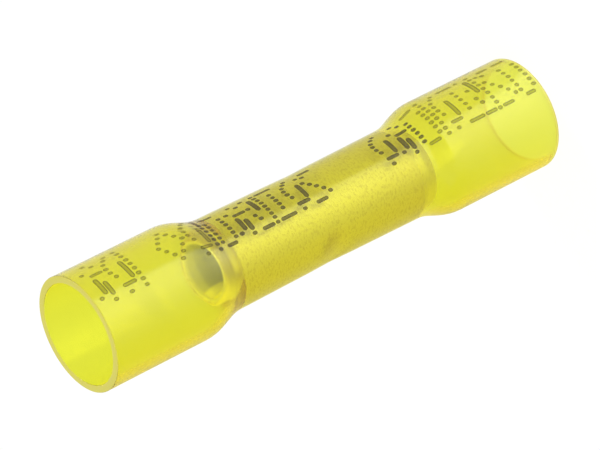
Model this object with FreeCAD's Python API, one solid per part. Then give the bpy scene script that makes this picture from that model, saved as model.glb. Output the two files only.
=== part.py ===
# Heat-shrink butt connector that joins two wires end to end. Sizes are in millimetres.
# A tinned copper barrel, rolled from strip, takes one bared wire at each end, up to a punched stop.
# A tube of clear yellow plastic is shrunk onto the barrel and keeps a wide mouth at each end.
# +Z runs along the tube. The connector stands on its lower mouth, and the origin is its centre there.

import FreeCAD, Part
import math
import os

# Sizes of the barrel
barrel_length = 19.5
bore_diameter = 3.9
strip_thickness = 0.75
barrel_edge_chamfer = 0.22
entry_depth = 0.9
entry_flare = 0.26

# Seam where the rolled strip meets itself: a brazed joint that shows as a shallow groove all round it
seam_angle_deg = 162.0
seam_groove_width = 0.12
seam_groove_depth = 0.07

# Wire stop: the barrel is pinched a little all round, and a round punch is driven in from one side
stop_angle_deg = -148.0
stop_depth = 0.4
stop_punch_radius = 2.0
stop_wall = 0.7
stop_edge_round = 0.5
pinch_depth = 0.05
pinch_half_length = 2.0
pinch_bend = 15.0

# Sizes of the sleeve
sleeve_length = 41.0
barrel_offset = -0.15
mouth_bore_diameter = 7.58
mouth_wall = 0.55

# Shoulders, where the sleeve narrows from its mouths to its neck
shoulder_slope_deg = 20.0
shoulder_bend = 4.1
shoulder_lead = 0.38
inner_lead = 0.1
foot_swell = 0.075

# Fit of the sleeve on the barrel, and the dent where it sags into the wire stop
grip_gap = 0.02
dent_depth = 0.08
dent_length = 2.6

# Places along the axis
barrel_middle = sleeve_length / 2 + barrel_offset
barrel_low = barrel_middle - barrel_length / 2
barrel_high = barrel_middle + barrel_length / 2
shoulder_low = barrel_low - shoulder_lead
shoulder_high = barrel_high + shoulder_lead
inner_low = barrel_low - inner_lead
inner_high = barrel_high + inner_lead

# Radii. Shrinking keeps the amount of plastic, so the neck's wall has the section of the mouth's wall
bore_radius = bore_diameter / 2
barrel_radius = bore_radius + strip_thickness
entry_radius = bore_radius + entry_flare
grip_radius = barrel_radius + grip_gap
mouth_bore_radius = mouth_bore_diameter / 2
mouth_radius = mouth_bore_radius + mouth_wall
neck_radius = math.sqrt(grip_radius**2 + mouth_radius**2 - mouth_bore_radius**2)

origin = FreeCAD.Vector(0, 0, 0)
up = FreeCAD.Vector(0, 0, 1)
touch = 1e-4


def side_direction(angle_deg):
    """Unit vector that points out of the tube's side at an angle about +Z, counted from +X."""
    angle = math.radians(angle_deg)
    return FreeCAD.Vector(math.cos(angle), math.sin(angle), 0)


def rounded_outline(corners):
    """Closed wire in the XZ plane through (radius, z, bend) corners. A bend of zero is a sharp corner.

    A bend is the arc's radius, or the largest that the two straight runs beside it leave room for.
    """
    points = [FreeCAD.Vector(radius, 0, z) for radius, z, bend in corners]
    rounded = []
    for i, corner in enumerate(points):
        before = points[i - 1] - corner
        after = points[(i + 1) % len(points)] - corner
        half_turn = (math.pi - before.getAngle(after)) / 2
        room = 0.49 * min(before.Length, after.Length)
        reach = min(corners[i][2] * math.tan(half_turn), room)
        bend = reach / math.tan(half_turn)
        start = corner + before.normalize() * reach
        end = corner + after.normalize() * reach
        middle = corner + (before + after).normalize() * (bend / math.cos(half_turn) - bend)
        rounded.append((start, middle, end))
    edges = []
    for i, (start, middle, end) in enumerate(rounded):
        if corners[i][2] > 0:
            edges.append(Part.Arc(start, middle, end).toShape())
        next_start = rounded[(i + 1) % len(rounded)][0]
        edges.append(Part.LineSegment(end, next_start).toShape())
    return Part.Wire(edges)


def turned(outline):
    """Solid of revolution about the tube's axis."""
    return Part.Face(outline).revolve(origin, up, 360)


def pinched(radius):
    """Corners of a straight wall of this radius where the wire stop pinches the tube, going up."""
    return [
        (radius, barrel_middle - pinch_half_length, 0),
        (radius - pinch_depth, barrel_middle, pinch_bend),
        (radius, barrel_middle + pinch_half_length, 0),
    ]


def barrel_end(end, inward):
    """Corners of one barrel end, from its chamfered outer edge to the foot of the flared entry."""
    return [
        (barrel_radius, end + inward * barrel_edge_chamfer, 0),
        (barrel_radius - barrel_edge_chamfer, end, 0),
        (entry_radius, end, 0),
        (bore_radius, end + inward * entry_depth, 0),
    ]


def seam_groove(outline):
    """Thin slab along the seam that reaches into the strip's section by the depth of the groove."""
    around = outline.makeOffset2D(seam_groove_depth)
    floor = outline.makeOffset2D(-seam_groove_depth)
    slab = Part.Face(around).cut(Part.Face(floor)).extrude(FreeCAD.Vector(0, seam_groove_width, 0))
    slab.translate(FreeCAD.Vector(0, -seam_groove_width / 2, 0))
    slab.rotate(origin, up, seam_angle_deg)
    return slab


def punched_rim(barrel, punch_centre):
    """Edges where the punched recess meets the outside of the barrel."""
    rim = []
    for edge in barrel.Edges:
        middle = edge.valueAt((edge.FirstParameter + edge.LastParameter) / 2)
        places = [middle] + [vertex.Point for vertex in edge.Vertexes]
        on_punch = all(abs(place.distanceToPoint(punch_centre) - stop_punch_radius) < touch for place in places)
        outside = middle.distanceToLine(origin, up) > barrel_radius - 2 * pinch_depth
        if on_punch and outside:
            rim.append(edge)
    return rim


def make_barrel():
    outside = pinched(barrel_radius)
    inside = pinched(bore_radius)
    corners = outside + barrel_end(barrel_high, -1) + inside[::-1] + barrel_end(barrel_low, 1)[::-1]
    outline = rounded_outline(corners)
    punch_centre = side_direction(stop_angle_deg) * (barrel_radius - stop_depth + stop_punch_radius)
    punch_centre += up * barrel_middle
    stop = Part.makeSphere(stop_punch_radius + stop_wall, punch_centre)
    within_wall = Part.makeCylinder(bore_radius + strip_thickness / 2, barrel_length, up * barrel_low, up)
    barrel = turned(outline).fuse(stop.common(within_wall))
    barrel = barrel.cut(Part.makeSphere(stop_punch_radius, punch_centre))
    barrel = barrel.makeFillet(stop_edge_round, punched_rim(barrel, punch_centre))
    return barrel.cut(seam_groove(outline))


def shoulder_run(wide_radius, narrow_radius):
    """Half of the length along the axis in which a shoulder goes from one radius to the other."""
    return (wide_radius - narrow_radius) / 2 / math.tan(math.radians(shoulder_slope_deg))


def sleeve_outside(mouth, shoulder, inward):
    """Corners of the outside from a mouth to the foot of its shoulder. inward is 1 or -1 along Z."""
    foot_radius = neck_radius + foot_swell
    run = shoulder_run(mouth_radius, foot_radius)
    return [
        (mouth_radius, mouth, 0),
        (mouth_radius, shoulder - inward * run, shoulder_bend),
        (foot_radius, shoulder + inward * run, shoulder_bend),
    ]


def sleeve_inside(mouth, shoulder, inward):
    """Corners of the inside from a mouth to where the sleeve grips the barrel."""
    run = shoulder_run(mouth_bore_radius, grip_radius)
    return [
        (mouth_bore_radius, mouth, 0),
        (mouth_bore_radius, shoulder - inward * run, shoulder_bend),
        (grip_radius, shoulder + inward * run, shoulder_bend),
    ]


def stop_dent():
    """Shallow ball-shaped hollow in the neck, over the wire stop."""
    floor_radius = neck_radius - pinch_depth - dent_depth
    ball_radius = ((dent_length / 2) ** 2 + dent_depth**2) / (2 * dent_depth)
    centre = side_direction(stop_angle_deg) * (floor_radius + ball_radius) + up * barrel_middle
    return Part.makeSphere(ball_radius, centre)


def make_sleeve():
    outside = sleeve_outside(0, shoulder_low, 1) + pinched(neck_radius)
    outside += sleeve_outside(sleeve_length, shoulder_high, -1)[::-1]
    inside = sleeve_inside(0, inner_low, 1) + pinched(grip_radius)
    inside += sleeve_inside(sleeve_length, inner_high, -1)[::-1]
    return turned(rounded_outline(outside + inside[::-1])).cut(stop_dent())


def export(name, shape):
    solid = shape.removeSplitter()
    print(name, "valid", solid.isValid(), "solids", len(solid.Solids), "volume", round(solid.Volume, 2))
    solid.exportStep("parts/" + name + ".step")


os.makedirs("parts", exist_ok=True)
export("barrel", make_barrel())
export("sleeve", make_sleeve())
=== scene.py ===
# Heat-shrink butt connector: a clear yellow sleeve shrunk onto a rolled, tin-plated barrel.
import bpy
import math
import random
from mathutils import Euler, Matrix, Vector, noise


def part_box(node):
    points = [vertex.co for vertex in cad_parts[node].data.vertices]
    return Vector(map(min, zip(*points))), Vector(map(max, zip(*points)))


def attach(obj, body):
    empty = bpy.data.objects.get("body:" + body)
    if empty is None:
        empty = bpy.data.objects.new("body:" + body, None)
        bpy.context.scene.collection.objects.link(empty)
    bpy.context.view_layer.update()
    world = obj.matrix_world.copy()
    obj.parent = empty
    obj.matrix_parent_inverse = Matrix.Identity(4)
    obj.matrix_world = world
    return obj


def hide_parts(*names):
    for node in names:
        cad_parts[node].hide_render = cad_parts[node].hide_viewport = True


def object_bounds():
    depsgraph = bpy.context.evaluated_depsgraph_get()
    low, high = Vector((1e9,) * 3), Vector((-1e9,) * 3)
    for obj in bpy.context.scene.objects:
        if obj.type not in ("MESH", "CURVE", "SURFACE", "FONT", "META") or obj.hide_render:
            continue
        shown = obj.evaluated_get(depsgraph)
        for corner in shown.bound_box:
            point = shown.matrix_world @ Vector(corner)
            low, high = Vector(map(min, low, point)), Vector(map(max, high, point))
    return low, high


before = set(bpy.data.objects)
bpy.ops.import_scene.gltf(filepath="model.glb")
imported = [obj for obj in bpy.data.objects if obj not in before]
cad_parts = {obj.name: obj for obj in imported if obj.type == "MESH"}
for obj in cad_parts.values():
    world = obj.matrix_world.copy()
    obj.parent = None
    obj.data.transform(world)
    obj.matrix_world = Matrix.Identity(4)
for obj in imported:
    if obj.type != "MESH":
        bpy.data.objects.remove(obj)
cad_low, cad_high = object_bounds()

mm = 0.001

# Places and sizes that the frame gives
sleeve_low, sleeve_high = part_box("sleeve")
barrel_low, barrel_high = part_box("barrel")
mouth_radius = sleeve_high.x
barrel_radius = barrel_high.x
barrel_middle = (barrel_low.z + barrel_high.z) / 2

# Barrel
strip_thickness = 0.75 * mm
barrel_edge_round = 0.24 * mm
entry_depth = 0.9 * mm
entry_flare = 0.26 * mm
entry_bend = 0.25 * mm
entry_edge_round = 0.1 * mm
seam_angle = math.radians(162)
seam_half_width = 0.06 * mm
seam_floor_half_width = 0.5 * seam_half_width
seam_rim_half_width = 1.3 * seam_half_width
seam_depth = 0.07 * mm
stop_angle = math.radians(-148)
stop_depth = 0.2 * mm
stop_floor_radius = 0.1 * mm
stop_rim_radius = 1.6 * mm
stop_boss_height = 0.35 * mm
pinch_depth = 0.05 * mm
pinch_half_length = 2.0 * mm
pinch_bend = 15 * mm

# Sleeve. Its neck has the section of its mouths, as shrinking keeps the amount of plastic
mouth_wall = 0.55 * mm
cut_edge_round = 0.06 * mm
cut_face_depth = 0.02 * mm
shoulder_slope = math.radians(20)
shoulder_bend = 4.1 * mm
shoulder_lead = 0.38 * mm
foot_swell = 0.075 * mm
inner_lead = 0.1 * mm
grip_bend = 1.0 * mm
wetting = 0.02 * mm
dent_depth = 0.08 * mm
dent_half_length = 1.3 * mm
inner_dent_depth = 1.3 * stop_depth
inner_dent_radius = 1.2 * stop_rim_radius
ripple_height = 0.003 * mm
ripple_length = 3.5 * mm

bore_radius = barrel_radius - strip_thickness
entry_radius = bore_radius + entry_flare
bore_finish_radius = entry_radius - 0.3 * entry_edge_round
mouth_bore_radius = mouth_radius - mouth_wall
grip_radius = barrel_radius - wetting
neck_radius = math.sqrt(barrel_radius**2 + mouth_radius**2 - mouth_bore_radius**2)

# Metal at the barrel's ends, where air lies between it and the sleeve, has painted light and painted shade
# in its colour.
# Near the edge it is painted dark, farther in it is painted lit towards the camera, and it is painted pale
# on the side that is lowest in the camera's view
painted_end_length = 1.4 * mm
painted_shade_length = 0.6 * mm
low_end_painted_tone = 0.3
# Share of painted shade on the flat end faces of the barrel
end_face_painted_tone = 0.4
lit_angle = math.radians(-75)
lit_half_width = math.radians(25)
lit_reach = math.radians(50)
pale_angle = math.radians(180)
pale_half_width = math.radians(30)
pale_reach = math.radians(80)

# Painted patch of light in the upper bore, beside the seam
patch_angle = math.radians(160)
patch_half_width = math.radians(30)
patch_start = 0.3 * mm
patch_end = 2.6 * mm

# Print: rows of dots from a jet printer, on one side of the sleeve
print_seed = 11
print_low_angle = math.radians(-77)
print_row_step = math.radians(6.5)
print_rows = 9
print_column_step = 0.345 * mm
print_starts = (0.5 * mm, 19.6 * mm, 36.8 * mm)
mark_gap = 1.5
dot_half_length = 0.215 * mm
dot_half_width = 0.15 * mm
dot_rim_share = 0.5
dot_tip_share = 0.2
dot_end_angles = [math.radians(angle) for angle in (25, 50, 75)]
spot_step = 0.12 * mm
spot_drift = 0.02 * mm
spot_shrink = 0.14
ink_lift = 0.006 * mm
# Over the metal the insides of the dots are inked thicker: painted shadow of the ink on the metal beneath
neck_painted_shadow = 0.62

# Fineness of the meshes
arc_step = math.radians(9)
arc_least_steps = 4
run_step = 0.3 * mm
bend_room = 0.49
sleeve_columns = 240
barrel_columns = 120

# Closer columns on each side of the seam, so many to its half width, and on each side of the stop.
# The even columns keep clear of the seam by so many half widths
seam_columns = 6
seam_fineness = 4
seam_clearance = 2
stop_columns = 24

# Clear plastic, and its cut ends, which let little light through
plastic_tint = (0.985, 0.99, 0.3, 1)
plastic_passing = 0.97
plastic_index = 1.48
plastic_roughness = (0.04, 0.12)
plastic_grain = {"Scale": 900.0, "Detail": 3.0}
plastic_bump = {"Strength": 0.004, "Distance": 0.02 * mm}
dye_colour = (0.982, 0.968, 0.51, 1)
dye_density = 5500.0
cut_tint = (0.88, 0.81, 0.08, 1)
cut_passing = 0.1

# Tin plate, with a fine mottle that is drawn out round the barrel
mottle_squeeze = (1, 1, 1.6)
mottle_grain = {"Scale": 4200.0, "Detail": 2.0, "Roughness": 0.6}
mottle_bump = {"Strength": 0.28, "Distance": 0.006 * mm}
mottle_tones = [(0.34, (0.765, 0.775, 0.68, 1)), (0.52, (0.90, 0.93, 0.81, 1))]
metal_roughness = (0.45, 0.33)
metal_shine = 0.4
# Darker tint inside the bore: painted shade. The bore is also rougher and duller
bore_shade_tint = (0.70, 0.72, 0.63, 1)
bore_roughness = 0.65
bore_shine = 0.6
# Painted shade and painted light for the metal at the barrel's ends and in the bore's patch, and the
# roughness that goes with them
painted_shade_tint = (0.58, 0.54, 0.28, 1)
painted_light_tint = (1.0, 1.0, 0.34, 1)
painted_tone_roughness = 0.8

# Ink, which is thin inside each dot and thick at its rim
ink_tint = (0.045, 0.03, 0.006, 1)
ink_roughness = 0.5
thin_ink = 0.42
thick_ink = 1.0

# Studio floor. Mirrored in the part it glows with painted light and painted shade by side, a painted
# reflection of a bright strip in front and of warm shade: degrees about Z, brightness and tint
floor_half = 1.5
floor_grey = (0.15, 0.15, 0.15, 1)
floor_glow = 0.9
# Seen through the plastic the floor glows dimmer, painted shade, and greener
shaded_floor_glow_through = 0.7
floor_tint = (1, 1, 1, 1)
shaded_floor_tint_through = (0.97, 1.08, 1, 1)
mirrored_depth = 0.5
mirrored_glow = 2.8
white = (0.965, 1, 0.97)
warm = (1, 0.92, 0.33)
mild = (1, 0.96, 0.6)
mirrored_light_and_shade = [
    (-180, 0.85, warm), (-150, 0.85, mild), (-124, 1.08, white), (-101, 1.8, white), (-80, 2.6, white),
    (-52, 2.6, white), (-43, 0.85, white), (-5, 0.75, white), (26, 0.7, white), (60, 0.75, white),
    (86, 0.9, white), (91, 0.9, warm), (104, 0.78, warm), (125, 0.78, warm), (150, 0.85, warm),
]

# Light all round, and weaker where it falls on matt surfaces
world_tint = (1, 1, 1, 1)
world_glow = 1.0
world_glow_on_matt = 0.65

# Lamps: place and size in metres, power in watts
key_place, key_size, key_power = (0.55, 0.10, 0.43), 0.1, 0.9
fill_place, fill_size, fill_power = (-0.6, -0.2, 0.5), 0.6, 0.8

# Camera at the photo's viewpoint: it looks down on the standing connector, and is rolled because the
# photo lays the connector down
camera_distance = 0.28295
camera_elevation = math.radians(31.84)
camera_roll = math.radians(-116.7)
camera_aim = Vector((-0.000116, 0, 0.02118))
camera_lens = 240.4
camera_sensor = 36
camera_clip_start = 0.01

# Bounces enough for light to get through all walls of the sleeve
bounces = 32
glossy_bounces = 16


# Outlines of the turned pieces

def rounded(corners):
    """Closed outline of (radius, z) points through (radius, z, bend) corners, with runs divided evenly."""
    arcs = []
    for i, corner in enumerate(corners):
        here = Vector(corner[:2])
        before = Vector(corners[i - 1][:2]) - here
        after = Vector(corners[(i + 1) % len(corners)][:2]) - here
        half_turn = (math.pi - before.angle(after)) / 2
        room = bend_room * min(before.length, after.length)
        reach = min(corner[2] * math.tan(half_turn), room)
        bend = reach / math.tan(half_turn)
        before.normalize()
        after.normalize()
        centre = here + (before + after).normalized() * (bend / math.cos(half_turn))
        first = here + before * reach - centre
        last = here + after * reach - centre
        turn = math.copysign(2 * half_turn, first.x * last.y - first.y * last.x)
        steps = max(arc_least_steps, math.ceil(2 * half_turn / arc_step))
        spokes = [first]
        for k in range(1, steps):
            c, s = math.cos(turn * (k / steps)), math.sin(turn * (k / steps))
            spokes.append(Vector((first.x * c - first.y * s, first.x * s + first.y * c)))
        spokes.append(last)
        arcs.append([centre + spoke for spoke in spokes])
    outline = []
    for i, arc in enumerate(arcs):
        run_start, run_end = arc[-1], arcs[(i + 1) % len(arcs)][0]
        pieces = math.ceil((run_end - run_start).length / run_step)
        outline += arc + [run_start.lerp(run_end, k / pieces) for k in range(1, pieces)]
    return outline


def pinched(radius):
    """Corners of a straight wall of this radius where the wire stop pinches the tube, going up."""
    return [
        (radius, barrel_middle - pinch_half_length, pinch_bend),
        (radius - pinch_depth, barrel_middle, pinch_bend),
        (radius, barrel_middle + pinch_half_length, pinch_bend),
    ]


def barrel_end(end, inward):
    """Corners of one barrel end, from its rounded outer edge to the foot of its flared entry."""
    return [
        (barrel_radius, end, barrel_edge_round),
        (entry_radius, end, entry_edge_round),
        (bore_radius, end + inward * entry_depth, entry_bend),
    ]


def barrel_outline():
    outside = pinched(barrel_radius) + barrel_end(barrel_high.z, -1)
    inside = barrel_end(barrel_low.z, 1) + pinched(bore_radius)
    return rounded(outside + inside[::-1])


def sleeve_end(mouth, shoulder, inward, wide, narrow, foot_bend):
    """Corners of one wall of the sleeve, from a mouth to the foot of its shoulder. inward is 1 or -1."""
    run = (wide - narrow) / 2 / math.tan(shoulder_slope)
    return [
        (wide, mouth, cut_edge_round),
        (wide, shoulder - inward * run, shoulder_bend),
        (narrow, shoulder + inward * run, foot_bend),
    ]


def sleeve_wall(lead, wide, narrow, straight, foot_bend):
    """Corners of one wall of the sleeve, going up, with a straight run over the barrel at its own radius.
    lead is how far past the barrel's ends the middles of the shoulders lie."""
    low_end = sleeve_end(sleeve_low.z, barrel_low.z - lead, 1, wide, narrow, foot_bend)
    high_end = sleeve_end(sleeve_high.z, barrel_high.z + lead, -1, wide, narrow, foot_bend)
    return low_end + pinched(straight) + high_end[::-1]


def sleeve_outline():
    outside = sleeve_wall(shoulder_lead, mouth_radius, neck_radius + foot_swell, neck_radius, shoulder_bend)
    inside = sleeve_wall(inner_lead, mouth_bore_radius, grip_radius, grip_radius, grip_bend)
    return rounded(outside + inside[::-1])


# Meshes

def smooth_step(value, low, high):
    """Smooth rise from 0 at low to 1 at high."""
    share = min(max((value - low) / (high - low), 0), 1)
    return share**3 * (share * (6 * share - 15) + 10)


def off(angle, centre):
    """How far an angle lies from a centre, the shorter way round."""
    return abs((angle - centre + math.pi) % (2 * math.pi) - math.pi)


def even_angles(count):
    """Angles of a full turn divided evenly."""
    return [2 * math.pi * k / count for k in range(count)]


def new_piece(name, vertices, faces, material):
    """Smooth-shaded object with a mesh of its own, in the scene."""
    mesh = bpy.data.meshes.new(name)
    mesh.from_pydata(vertices, [], faces)
    mesh.shade_smooth()
    mesh.materials.append(material)
    piece = bpy.data.objects.new(name, mesh)
    bpy.context.scene.collection.objects.link(piece)
    return piece


def paint(piece, name, values):
    """Give a piece's mesh an attribute, with one value for each vertex."""
    piece.data.attributes.new(name, "FLOAT", "POINT").data.foreach_set("value", values)


def turned_mesh(outline, angles, sink_at):
    """Vertices and faces of an outline turned about Z. sink_at gives how far its surface sinks at a
    place, along its own normal and straight in towards the axis."""
    count, turns = len(outline), len(angles)
    vertices = []
    for angle in angles:
        for i, point in enumerate(outline):
            along = (outline[(i + 1) % count] - outline[i - 1]).normalized()
            outward = Vector((along.y, -along.x))
            by_normal, by_radius = sink_at(angle, point, outward)
            radius = point.x - outward.x * by_normal - by_radius
            z = point.y - outward.y * by_normal
            vertices.append((radius * math.cos(angle), radius * math.sin(angle), z))
    faces = []
    for j in range(turns):
        here, beside = j * count, (j + 1) % turns * count
        for i in range(count):
            above = (i + 1) % count
            faces.append((here + i, beside + i, beside + above, here + above))
    return vertices, faces


def stop_share(angle, z, rim):
    """How far the punched stop reaches at a place on a wall, from 0 outside it to 1 on its floor."""
    distance = math.hypot(off(angle, stop_angle) * barrel_radius, z - barrel_middle)
    return 1 - smooth_step(distance, stop_floor_radius, rim)


def barrel_sink(angle, point, outward):
    """Groove of the seam all round the strip's section, and the stop, a hollow outside and a boss inside."""
    seam_distance = off(angle, seam_angle) * barrel_radius
    seam = seam_depth * (1 - smooth_step(seam_distance, seam_floor_half_width, seam_rim_half_width))
    stop = stop_depth if outward.x > 0 else stop_boss_height
    return seam, stop * stop_share(angle, point.y, stop_rim_radius)


def sleeve_sink(angle, point, outward):
    """Slight ripples and a dent over the wire stop outside, and room for the stop inside."""
    if outward.x <= 0:
        return 0, inner_dent_depth * stop_share(angle, point.y, inner_dent_radius)
    distance = math.hypot(off(angle, stop_angle) * neck_radius, point.y - barrel_middle)
    dent = dent_depth * max(0, 1 - (distance / dent_half_length) ** 2)
    place = Vector((point.x * math.cos(angle), point.x * math.sin(angle), point.y)) / ripple_length
    ripple = ripple_height * (1 + noise.noise(place)) / 2
    return ripple * outward.x, dent


def barrel_angles():
    """Even columns, with closer ones over the seam and over the punched stop."""
    seam_reach = seam_half_width / barrel_radius
    stop_reach = stop_rim_radius / barrel_radius
    angles = [
        angle for angle in even_angles(barrel_columns)
        if off(angle, seam_angle) > seam_clearance * seam_reach and off(angle, stop_angle) > stop_reach
    ]
    angles += [seam_angle + seam_reach * k / seam_fineness for k in range(-seam_columns, seam_columns + 1)]
    angles += [stop_angle + stop_reach * k / stop_columns for k in range(-stop_columns, stop_columns + 1)]
    return sorted(angle % (2 * math.pi) for angle in angles)


def barrel_finish(place):
    """How dull like a bore the metal is at a place on the barrel, how much painted tone it takes there, and
    how much of that tone is painted light rather than painted shade.
    """
    radius = math.hypot(place.x, place.y)
    angle = math.atan2(place.y, place.x)
    high_end = place.z > barrel_middle
    depth = barrel_high.z - place.z if high_end else place.z - barrel_low.z
    # Near the ends: painted shade by the edge, painted light farther in towards the camera and on the lowest
    # side
    if radius > barrel_radius - barrel_edge_round and depth < painted_end_length:
        painted_light_share = 1 - smooth_step(off(angle, pale_angle), pale_half_width, pale_reach)
        lit = 0.0
        if depth > painted_shade_length:
            lit = 1 - smooth_step(off(angle, lit_angle), lit_half_width, lit_reach)
        if high_end:
            return 0.0, 1.0, max(painted_light_share, lit)
        return 0.0, low_end_painted_tone * (1 - lit), painted_light_share
    # Flat end faces: partly painted shade
    if radius > entry_radius + entry_edge_round and depth < barrel_edge_round:
        return 0.0, end_face_painted_tone, 0.0
    in_bore = radius < bore_finish_radius
    in_patch = off(angle, patch_angle) < patch_half_width and patch_start < depth < patch_end
    # Painted patch of light in the bore, with the seam's line left darker
    if high_end and in_bore and in_patch:
        on_seam = off(angle, seam_angle) * barrel_radius < seam_half_width
        return 0.0, 1.0, 0.0 if on_seam else 1.0
    return 1.0 if in_bore else 0.0, 0.0, 0.0


# Print. A mark is a list of (first column, last column, low row, high row) spots

def dots(places):
    """Single dots at (column, row) places."""
    return [(column, column, row, row) for column, row in places]


def bar(row, first, last):
    """Dots of one row that have run together."""
    return [(first, last, row, row)]


def post(column, low, high):
    """Dots of one column that have run together."""
    return [(column, column, low, high)]


def pillar(column=0, low=0, high=print_rows - 1):
    return dots([(column, row) for row in range(low, high + 1)])


def slope(first, low, count, rise):
    return dots([(first + k, low + rise * k) for k in range(count)])


def lozenge(first, middle, size):
    places = []
    for column in range(2 * size + 1):
        reach = size - abs(column - size)
        places += [(first + column, middle + reach), (first + column, middle - reach)]
    return dots(sorted(set(places)))


def gate():
    return bar(8, 0, 3) + bar(0, 0, 3) + pillar(1.5, 2, 6)


def hook():
    curve = dots([(3, 3), (3.4, 4), (3.4, 5), (3, 6), (2, 7), (1, 7.8), (2.2, 0)])
    return post(0, 2, 5) + bar(1.2, 0.4, 2.6) + curve


def fork():
    ends = dots([(2.8, 2), (3.4, 3), (3.4, 5), (2.8, 8)])
    return pillar(0) + post(1.6, 4, 7) + bar(0, 1.4, 3.4) + ends


def stair():
    return slope(0, 1, 5, 1) + bar(8, 0, 2) + bar(0, 2, 4) + dots([(4, 7), (2.6, 6.6)])


def arch():
    return bar(8, 0.6, 2.8) + pillar(0, 1, 6) + pillar(3.6, 1, 6) + bar(0, 1, 2.6)


def cluster():
    loose = dots([(3.4, 6), (3.8, 1), (0, 7), (1.2, 8), (1.2, 0)])
    return bar(5, 0, 2) + post(2.4, 1.6, 4) + post(1, 1, 3) + loose


def outer_radius(z):
    """Radius of the sleeve's outside at a height."""
    for (r0, z0), (r1, z1) in zip(outside_line, outside_line[1:]):
        if z0 <= z <= z1:
            return r0 + (r1 - r0) * (z - z0) / max(z1 - z0, 1e-9)
    return mouth_radius


def add_spot(vertices, faces, rims_and_shadows, z, angle, half_length, half_width):
    """Add one spot of ink that follows the sleeve's outside, made of cross sections of its longer way."""
    upright = half_length >= half_width
    reach, side = (half_length, half_width) if upright else (half_width, half_length)
    round_end = min(reach, side)
    core = reach - round_end
    pieces = max(1, math.ceil(2 * core / spot_step))
    places = [-core - round_end * math.cos(turn) for turn in dot_end_angles]
    places += [core * (2 * k / pieces - 1) for k in range(pieces + 1)]
    places += [core + round_end * math.cos(turn) for turn in reversed(dot_end_angles)]
    end_widths = [side * math.sin(turn) for turn in dot_end_angles]
    widths = end_widths + [side] * (pieces + 1) + end_widths[::-1]
    middle_radius = outer_radius(z)
    # Over the metal the dot's inside takes painted shadow
    centre_painted_shadow = neck_painted_shadow if barrel_low.z < z < barrel_high.z else 0

    def add_point(along, across, rim):
        up, aside = (along, across) if upright else (across, along)
        radius = outer_radius(z + up) + ink_lift
        turn = angle + aside / middle_radius
        vertices.append((radius * math.cos(turn), radius * math.sin(turn), z + up))
        rims_and_shadows.append(rim)
        return len(vertices) - 1

    shares = (-1, -dot_rim_share, 0, dot_rim_share, 1)
    gaps = range(len(shares) - 1)
    rows = []
    for place, width in zip(places, widths):
        near_tip = abs(place) > reach - dot_tip_share * round_end
        inks = [1 if near_tip or abs(share) == 1 else centre_painted_shadow for share in shares]
        rows.append([add_point(place, width * share, ink) for share, ink in zip(shares, inks)])
    first, last = add_point(-reach, 0, 1), add_point(reach, 0, 1)
    spot = []
    for lower, upper in zip(rows, rows[1:]):
        spot += [(lower[k], lower[k + 1], upper[k + 1], upper[k]) for k in gaps]
    spot += [(first, rows[0][k + 1], rows[0][k]) for k in gaps]
    spot += [(last, rows[-1][k], rows[-1][k + 1]) for k in gaps]
    faces += [face[::-1] for face in spot] if upright else spot


def print_mesh(groups):
    """Vertices, faces and ink thickness, with painted shadow over the metal, of all the ink spots, in groups
    of marks that start at a height.
    """
    vertices, faces, rims_and_shadows = [], [], []
    chance = random.Random(print_seed)
    for start, marks in groups:
        for mark in marks:
            for first, last, low, high in mark:
                z = start + (first + last) / 2 * print_column_step
                angle = print_low_angle + (low + high) / 2 * print_row_step
                half_length = (last - first) / 2 * print_column_step + dot_half_length
                half_width = (high - low) / 2 * print_row_step * outer_radius(z) + dot_half_width
                z += chance.uniform(-spot_drift, spot_drift)
                angle += chance.uniform(-spot_drift, spot_drift) / neck_radius
                half_length -= chance.uniform(0, spot_shrink) * dot_half_length
                half_width -= chance.uniform(0, spot_shrink) * dot_half_width
                if sleeve_low.z + half_length < z < sleeve_high.z - half_length:
                    add_spot(vertices, faces, rims_and_shadows, z, angle, half_length, half_width)
            start += (max(spot[1] for spot in mark) + mark_gap) * print_column_step
    return vertices, faces, rims_and_shadows


# Materials

# Blender's mix node holds the sockets of all its kinds: both inputs and the output of those used here
mix_sockets = {"FLOAT": (2, 3, 0), "RGBA": (6, 7, 2)}


def new_material(name):
    """Material, its empty node tree, and that tree's way to make links."""
    material = bpy.data.materials.new(name)
    material.use_nodes = True
    material.node_tree.nodes.clear()
    return material, material.node_tree, material.node_tree.links.new


def add_node(tree, kind, **values):
    """New node. Values set its properties, or its inputs where the name is an input's."""
    node = tree.nodes.new(kind)
    for key, value in values.items():
        name = key.replace("_", " ")
        if name in node.inputs:
            node.inputs[name].default_value = value
        else:
            setattr(node, key, value)
    return node


def painted(tree, name):
    """Output that gives a mesh's attribute of this name."""
    return add_node(tree, "ShaderNodeAttribute", attribute_name=name).outputs["Fac"]


def between(tree, share, low, high):
    """Output that goes from low to high with a share."""
    node = add_node(tree, "ShaderNodeMapRange", To_Min=low, To_Max=high)
    tree.links.new(share, node.inputs["Value"])
    return node.outputs["Result"]


def mixed(tree, kind, share, *choices):
    """Output that goes from one choice to the other with a share. A choice is an output or a constant."""
    first, second, result = mix_sockets[kind]
    node = add_node(tree, "ShaderNodeMix", data_type=kind)
    tree.links.new(share, node.inputs[0])
    for socket, choice in zip((node.inputs[first], node.inputs[second]), choices):
        if isinstance(choice, bpy.types.NodeSocket):
            tree.links.new(choice, socket)
        else:
            socket.default_value = choice
    return node.outputs[result]


def finish_material(tree, surface, volume=None):
    """Link a surface, and what fills the space within it, to the tree's output."""
    out = add_node(tree, "ShaderNodeOutputMaterial")
    tree.links.new(surface, out.inputs["Surface"])
    if volume:
        tree.links.new(volume, out.inputs["Volume"])


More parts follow.
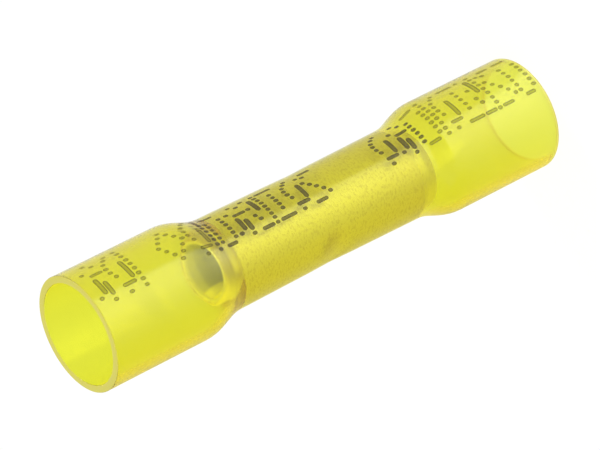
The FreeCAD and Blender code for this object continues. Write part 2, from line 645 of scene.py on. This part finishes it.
def sleeve_material():
    """Dyed clear plastic that casts no shadow of its own. The attribute "cut" marks the cut ends."""
    material, tree, link = new_material("yellow_plastic")
    place = add_node(tree, "ShaderNodeTexCoord")
    grain = add_node(tree, "ShaderNodeTexNoise", **plastic_grain)
    link(place.outputs["Object"], grain.inputs["Vector"])
    bump = add_node(tree, "ShaderNodeBump", **plastic_bump)
    link(grain.outputs["Fac"], bump.inputs["Height"])
    cut = painted(tree, "cut")
    plastic = add_node(tree, "ShaderNodeBsdfPrincipled", IOR=plastic_index)
    link(mixed(tree, "RGBA", cut, plastic_tint, cut_tint), plastic.inputs["Base Color"])
    link(between(tree, cut, plastic_passing, cut_passing), plastic.inputs["Transmission Weight"])
    link(between(tree, grain.outputs["Fac"], *plastic_roughness), plastic.inputs["Roughness"])
    link(bump.outputs["Normal"], plastic.inputs["Normal"])
    clear = add_node(tree, "ShaderNodeBsdfTransparent")
    path = add_node(tree, "ShaderNodeLightPath")
    mix = add_node(tree, "ShaderNodeMixShader")
    link(path.outputs["Is Shadow Ray"], mix.inputs["Fac"])
    link(plastic.outputs["BSDF"], mix.inputs[1])
    link(clear.outputs["BSDF"], mix.inputs[2])
    dye = add_node(tree, "ShaderNodeVolumeAbsorption", Color=dye_colour, Density=dye_density)
    finish_material(tree, mix.outputs["Shader"], dye.outputs["Volume"])
    return material


def barrel_material():
    """Mottled tin plate, with painted shade in the bore, and painted shade and painted light at the barrel's
    ends and in the bore's patch. Its attributes come from barrel_finish.
    """
    material, tree, link = new_material("tinned_metal")
    place = add_node(tree, "ShaderNodeTexCoord")
    squeeze = add_node(tree, "ShaderNodeMapping", Scale=mottle_squeeze)
    link(place.outputs["Object"], squeeze.inputs["Vector"])
    mottle = add_node(tree, "ShaderNodeTexNoise", **mottle_grain)
    link(squeeze.outputs["Vector"], mottle.inputs["Vector"])
    tone = add_node(tree, "ShaderNodeValToRGB")
    for element, (position, colour) in zip(tone.color_ramp.elements, mottle_tones):
        element.position = position
        element.color = colour
    link(mottle.outputs["Fac"], tone.inputs["Fac"])
    bump = add_node(tree, "ShaderNodeBump", **mottle_bump)
    link(mottle.outputs["Fac"], bump.inputs["Height"])
    bore, painted_tone, painted_light_share = (painted(tree, name) for name in ("bore", "painted_tone", "painted_light_share"))

    # Metal in the bore takes the darker tint: painted shade
    wetted_tint = mixed(tree, "RGBA", bore, tone.outputs["Color"], bore_shade_tint)
    # Painted shade, going over to painted light as the painted light share rises
    painted_tone_tint = mixed(tree, "RGBA", painted_light_share, painted_shade_tint, painted_light_tint)
    wetted_roughness = mixed(
        tree, "FLOAT", bore, between(tree, mottle.outputs["Fac"], *metal_roughness), bore_roughness)
    shine = add_node(tree, "ShaderNodeMath", operation="SUBTRACT", use_clamp=True)
    link(between(tree, bore, metal_shine, bore_shine), shine.inputs[0])
    link(painted_tone, shine.inputs[1])
    metal = add_node(tree, "ShaderNodeBsdfPrincipled")
    link(mixed(tree, "RGBA", painted_tone, wetted_tint, painted_tone_tint), metal.inputs["Base Color"])
    link(mixed(tree, "FLOAT", painted_tone, wetted_roughness, painted_tone_roughness), metal.inputs["Roughness"])
    link(shine.outputs["Value"], metal.inputs["Metallic"])
    link(bump.outputs["Normal"], metal.inputs["Normal"])
    finish_material(tree, metal.outputs["BSDF"])
    return material


def ink_material():
    """Ink whose attribute rim is 1 where it lies thick, and higher inside the dots over the metal, as
    painted shadow that the ink casts on the metal beneath.
    """
    material, tree, link = new_material("print_ink")
    ink = add_node(tree, "ShaderNodeBsdfPrincipled", Base_Color=ink_tint, Roughness=ink_roughness)
    link(between(tree, painted(tree, "rim"), thin_ink, thick_ink), ink.inputs["Alpha"])
    finish_material(tree, ink.outputs["BSDF"])
    return material


def floor_material():
    """Glowing floor: white to the camera, dimmer and greener seen through the plastic as painted shade, and
    a ring of painted light and painted shade by side where it is mirrored.
    """
    material, tree, link = new_material("floor_paint")
    place = add_node(tree, "ShaderNodeTexCoord")
    split = add_node(tree, "ShaderNodeSeparateXYZ")
    link(place.outputs["Object"], split.inputs["Vector"])
    azimuth = add_node(tree, "ShaderNodeMath", operation="ARCTAN2")
    link(split.outputs["Y"], azimuth.inputs[0])
    link(split.outputs["X"], azimuth.inputs[1])
    side = add_node(tree, "ShaderNodeMapRange", From_Min=-math.pi, From_Max=math.pi)
    link(azimuth.outputs["Value"], side.inputs["Value"])
    # Ring of painted light and painted shade, seen only in reflections
    sides = add_node(tree, "ShaderNodeValToRGB")
    elements = sides.color_ramp.elements
    while len(elements) < len(mirrored_light_and_shade):
        elements.new(0.5)
    for element, (degrees, brightness, tint) in zip(elements, mirrored_light_and_shade):
        element.position = degrees / 360 + 0.5
        element.color = (*(brightness / mirrored_glow * part for part in tint), 1)
    link(side.outputs["Result"], sides.inputs["Fac"])

    path = add_node(tree, "ShaderNodeLightPath")
    through = path.outputs["Is Transmission Ray"]
    mirrored = add_node(tree, "ShaderNodeMath", operation="GREATER_THAN")
    link(path.outputs["Glossy Depth"], mirrored.inputs[0])
    mirrored.inputs[1].default_value = mirrored_depth
    # Seen through the plastic: dimmer and greener, painted shade
    straight_tint = mixed(tree, "RGBA", through, floor_tint, shaded_floor_tint_through)
    straight_glow = between(tree, through, floor_glow, shaded_floor_glow_through)
    glow = add_node(tree, "ShaderNodeEmission")
    link(mixed(tree, "RGBA", mirrored.outputs["Value"], straight_tint, sides.outputs["Color"]),
         glow.inputs["Color"])
    link(mixed(tree, "FLOAT", mirrored.outputs["Value"], straight_glow, mirrored_glow),
         glow.inputs["Strength"])
    matt = add_node(tree, "ShaderNodeBsdfDiffuse", Color=floor_grey)
    both = add_node(tree, "ShaderNodeAddShader")
    link(glow.outputs["Emission"], both.inputs[0])
    link(matt.outputs["BSDF"], both.inputs[1])
    finish_material(tree, both.outputs["Shader"])
    return material


# Stage

def studio_world():
    world = bpy.data.worlds.new("studio")
    world.use_nodes = True
    tree = world.node_tree
    background = tree.nodes["Background"]
    background.inputs["Color"].default_value = world_tint
    path = add_node(tree, "ShaderNodeLightPath")
    glow = between(tree, path.outputs["Is Diffuse Ray"], world_glow, world_glow_on_matt)
    tree.links.new(glow, background.inputs["Strength"])
    return world


def area_lamp(name, place, aim, size, power):
    """Round lamp that faces the place it is aimed at."""
    data = bpy.data.lights.new(name, "AREA")
    data.shape = "DISK"
    data.size = size
    data.energy = power
    lamp = bpy.data.objects.new(name, data)
    lamp.location = place
    lamp.rotation_euler = (aim - Vector(place)).to_track_quat("-Z", "Y").to_euler()
    bpy.context.scene.collection.objects.link(lamp)


def photo_camera():
    data = bpy.data.cameras.new("camera")
    data.lens = camera_lens
    data.sensor_width = camera_sensor
    data.clip_start = camera_clip_start
    camera = bpy.data.objects.new("camera", data)
    back = Vector((0, -math.cos(camera_elevation), math.sin(camera_elevation)))
    look = (-back).to_track_quat("-Z", "Y")
    camera.location = camera_aim + back * camera_distance
    camera.rotation_euler = (look.to_matrix() @ Euler((0, 0, camera_roll)).to_matrix()).to_euler()
    bpy.context.scene.collection.objects.link(camera)
    return camera


# Barrel
vertices, faces = turned_mesh(barrel_outline(), barrel_angles(), barrel_sink)
barrel = new_piece("tinned_barrel", vertices, faces, barrel_material())
finishes = zip(*(barrel_finish(vertex.co) for vertex in barrel.data.vertices))
for name, values in zip(("bore", "painted_tone", "painted_light_share"), finishes):
    paint(barrel, name, values)
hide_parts("barrel")
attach(barrel, "root")

# Sleeve
whole_line = sleeve_outline()
vertices, faces = turned_mesh(whole_line, even_angles(sleeve_columns), sleeve_sink)
sleeve = new_piece("clear_sleeve", vertices, faces, sleeve_material())
heights = [vertex.co.z for vertex in sleeve.data.vertices]
end_depths = [min(z - sleeve_low.z, sleeve_high.z - z) for z in heights]
paint(sleeve, "cut", [1.0 if depth < cut_face_depth else 0.0 for depth in end_depths])
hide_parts("sleeve")
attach(sleeve, "root")

# Print. The outline goes up the sleeve's outside first, from the lower mouth to the upper one
top = max(range(len(whole_line)), key=lambda i: whole_line[i].y)
outside_line = [(point.x, point.y) for point in whole_line[: top + 1]]
print_groups = [
    [arch(), stair(), fork(), gate(), hook(), pillar(), arch(), cluster(), hook()],
    [stair(), hook(), gate(), fork(), cluster(), arch(), pillar(), hook(), lozenge(0, 4, 3)],
    [pillar(), hook(), cluster()],
]
vertices, faces, rims_and_shadows = print_mesh(zip(print_starts, print_groups))
marks = new_piece("print_marks", vertices, faces, ink_material())
# The rim attribute holds the ink's thickness and its painted shadow over the metal
paint(marks, "rim", rims_and_shadows)
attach(marks, "root")

# Studio
corners = [(-floor_half, -floor_half, 0), (floor_half, -floor_half, 0),
           (floor_half, floor_half, 0), (-floor_half, floor_half, 0)]
floor = new_piece("floor", corners, [(0, 1, 2, 3)], floor_material())
bpy.context.scene.world = studio_world()
middle = Vector((0, 0, (cad_low.z + cad_high.z) / 2))
area_lamp("key", key_place, middle, key_size, key_power)
area_lamp("fill", fill_place, middle, fill_size, fill_power)
bpy.context.scene.camera = photo_camera()
bpy.context.scene.view_settings.view_transform = "Standard"
bpy.context.scene.cycles.max_bounces = bounces
bpy.context.scene.cycles.transmission_bounces = bounces
bpy.context.scene.cycles.glossy_bounces = glossy_bounces
bpy.context.scene.cycles.transparent_max_bounces = bounces
